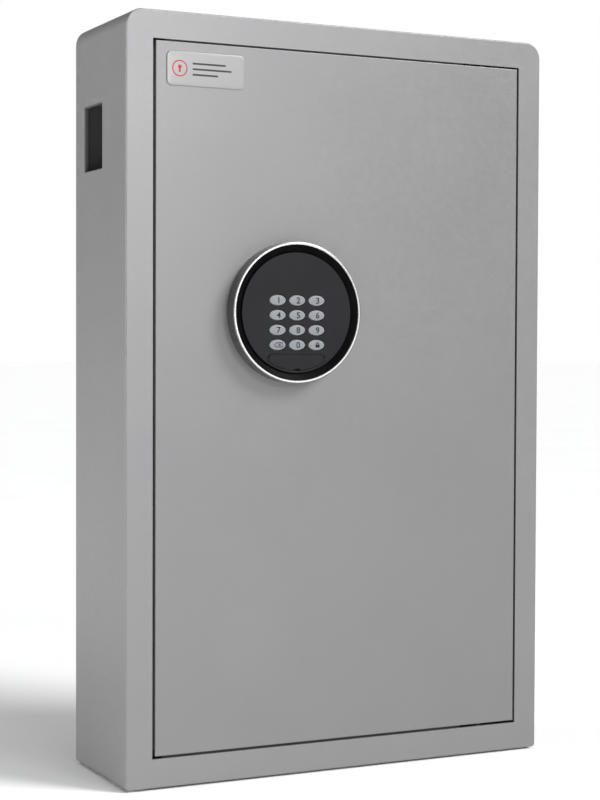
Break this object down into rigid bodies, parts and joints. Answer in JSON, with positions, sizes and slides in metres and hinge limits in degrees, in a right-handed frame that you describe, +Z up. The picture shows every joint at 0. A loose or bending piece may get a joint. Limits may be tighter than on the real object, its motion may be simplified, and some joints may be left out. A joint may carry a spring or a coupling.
{
  "type": "wall safe",
  "caption": "Shallow steel key safe for wall fixing, with an inset hinged door, a round push-button keypad lock, sliding bolts and a key drop slot in its side wall.",
  "frame": {"origin": "centre of the wall-fixing hole pattern, on the outer face of the back", "axes": "+X to the right seen from the front, +Y out of the back into the wall, +Z up"},
  "size_m": [0.455, 0.1561, 0.73],
  "materials": {
    "body_paint": "fine texture powder coat, satin",
    "door_paint": "fine texture powder coat, satin",
    "zinc_steel": "zinc plated",
    "bolt_steel": "ground and polished",
    "chrome_trim": "polished",
    "satin_housing": "satin turned",
    "black_plastic": "half gloss",
    "fascia_plastic": "fine matte",
    "key_plastic": "smooth",
    "rubber": "matte",
    "circuit_board": "solder mask",
    "brass": "machined",
    "label_silver": "satin, blank",
    "hook_steel": "nickel plated",
    "battery_wrap": "printed sleeve without print",
    "dark_paint": "matte dark grey powder coat"
  },
  "bodies": {
    "cabinet": {"cabinet_shell": "body_paint", "front_frame": "body_paint", "back_panel": "body_paint", "lock_side_keeper": "body_paint", "door_stop_top": "dark_paint", "door_stop_bottom": "dark_paint", "hinge_bracket_top": "body_paint", "hinge_bracket_bottom": "body_paint", "hinge_pin_top": "bolt_steel", "hinge_pin_bottom": "bolt_steel", "deposit_chute": "dark_paint", "rack_upright_left": "zinc_steel", "rack_upright_right": "zinc_steel", "hook_bar_1": "hook_steel", "hook_bar_2": "hook_steel", "hook_bar_3": "hook_steel", "hook_bar_4": "hook_steel", "hook_bar_5": "hook_steel", "hook_bar_6": "hook_steel"},
    "door": {"door_panel": "door_paint", "name_plate": "label_silver", "mechanism_plate": "zinc_steel", "motor_gearbox": "zinc_steel", "control_board": "circuit_board", "lock_case": "door_paint", "hinge_lug_top": "door_paint", "hinge_lug_bottom": "door_paint", "battery_box": "black_plastic", "batteries": "battery_wrap", "bolt_guide_top": "zinc_steel", "bolt_guide_middle": "zinc_steel", "bolt_guide_bottom": "zinc_steel", "keypad_housing": "satin_housing", "keypad_bezel": "chrome_trim", "keypad_dish": "black_plastic", "keypad_fascia": "fascia_plastic", "key_mat": "rubber", "keypad_circuit_board": "circuit_board", "override_lock_body": "brass", "power_contacts": "brass"},
    "bolt_work": {"bolt_bar": "zinc_steel", "bolt_top": "bolt_steel", "bolt_middle": "bolt_steel", "bolt_bottom": "bolt_steel"},
    "drive_pinion": {"drive_pinion": "brass"},
    "override_plug": {"override_plug": "brass"},
    "keypad_cover": {"keypad_cover": "fascia_plastic"},
    "battery_lid": {"battery_lid": "black_plastic"},
    "key_1": {"key_1": "key_plastic"},
    "key_2": {"key_2": "key_plastic"},
    "key_3": {"key_3": "key_plastic"},
    "key_4": {"key_4": "key_plastic"},
    "key_5": {"key_5": "key_plastic"},
    "key_6": {"key_6": "key_plastic"},
    "key_7": {"key_7": "key_plastic"},
    "key_8": {"key_8": "key_plastic"},
    "key_9": {"key_9": "key_plastic"},
    "key_clear": {"key_clear": "key_plastic"},
    "key_0": {"key_0": "key_plastic"},
    "key_lock": {"key_lock": "key_plastic"}
  },
  "joints": [
    {"name": "door_hinge", "type": "hinge", "parent": "cabinet", "child": "door", "pos_m": [0.164, -0.129, 0], "axis": [0, 0, 1], "range_deg": [0, 100]},
    {"name": "bolt_slide", "type": "slide", "parent": "door", "child": "bolt_work", "axis": [-1, 0, 0], "range_m": [0, 0.015]},
    {"name": "pinion_spin", "type": "hinge", "parent": "door", "child": "drive_pinion", "pos_m": [-0.105, -0.116, 0.1], "axis": [0, 1, 0], "range_deg": [0, 107.5]},
    {"name": "override_turn", "type": "hinge", "parent": "door", "child": "override_plug", "pos_m": [-0.0719, -0.13, 0.037], "axis": [0, 1, 0], "range_deg": [0, 90]},
    {"name": "cover_lift", "type": "slide", "parent": "door", "child": "keypad_cover", "axis": [0, -1, 0], "range_m": [0, 0.025]},
    {"name": "battery_lid_lift", "type": "slide", "parent": "door", "child": "battery_lid", "axis": [0, 1, 0], "range_m": [0, 0.02]},
    {"name": "key_1_press", "type": "slide", "parent": "door", "child": "key_1", "axis": [0, 1, 0], "range_m": [0, 0.001], "stiffness_N_per_m": 400, "springref_m": -0.001},
    {"name": "key_2_press", "type": "slide", "parent": "door", "child": "key_2", "axis": [0, 1, 0], "range_m": [0, 0.001], "stiffness_N_per_m": 400, "springref_m": -0.001},
    {"name": "key_3_press", "type": "slide", "parent": "door", "child": "key_3", "axis": [0, 1, 0], "range_m": [0, 0.001], "stiffness_N_per_m": 400, "springref_m": -0.001},
    {"name": "key_4_press", "type": "slide", "parent": "door", "child": "key_4", "axis": [0, 1, 0], "range_m": [0, 0.001], "stiffness_N_per_m": 400, "springref_m": -0.001},
    {"name": "key_5_press", "type": "slide", "parent": "door", "child": "key_5", "axis": [0, 1, 0], "range_m": [0, 0.001], "stiffness_N_per_m": 400, "springref_m": -0.001},
    {"name": "key_6_press", "type": "slide", "parent": "door", "child": "key_6", "axis": [0, 1, 0], "range_m": [0, 0.001], "stiffness_N_per_m": 400, "springref_m": -0.001},
    {"name": "key_7_press", "type": "slide", "parent": "door", "child": "key_7", "axis": [0, 1, 0], "range_m": [0, 0.001], "stiffness_N_per_m": 400, "springref_m": -0.001},
    {"name": "key_8_press", "type": "slide", "parent": "door", "child": "key_8", "axis": [0, 1, 0], "range_m": [0, 0.001], "stiffness_N_per_m": 400, "springref_m": -0.001},
    {"name": "key_9_press", "type": "slide", "parent": "door", "child": "key_9", "axis": [0, 1, 0], "range_m": [0, 0.001], "stiffness_N_per_m": 400, "springref_m": -0.001},
    {"name": "key_clear_press", "type": "slide", "parent": "door", "child": "key_clear", "axis": [0, 1, 0], "range_m": [0, 0.001], "stiffness_N_per_m": 400, "springref_m": -0.001},
    {"name": "key_0_press", "type": "slide", "parent": "door", "child": "key_0", "axis": [0, 1, 0], "range_m": [0, 0.001], "stiffness_N_per_m": 400, "springref_m": -0.001},
    {"name": "key_lock_press", "type": "slide", "parent": "door", "child": "key_lock", "axis": [0, 1, 0], "range_m": [0, 0.001], "stiffness_N_per_m": 400, "springref_m": -0.001}
  ],
  "couplings": [
    {"joint": "pinion_spin", "follows": "bolt_slide", "rad_per_m": 125}
  ]
}
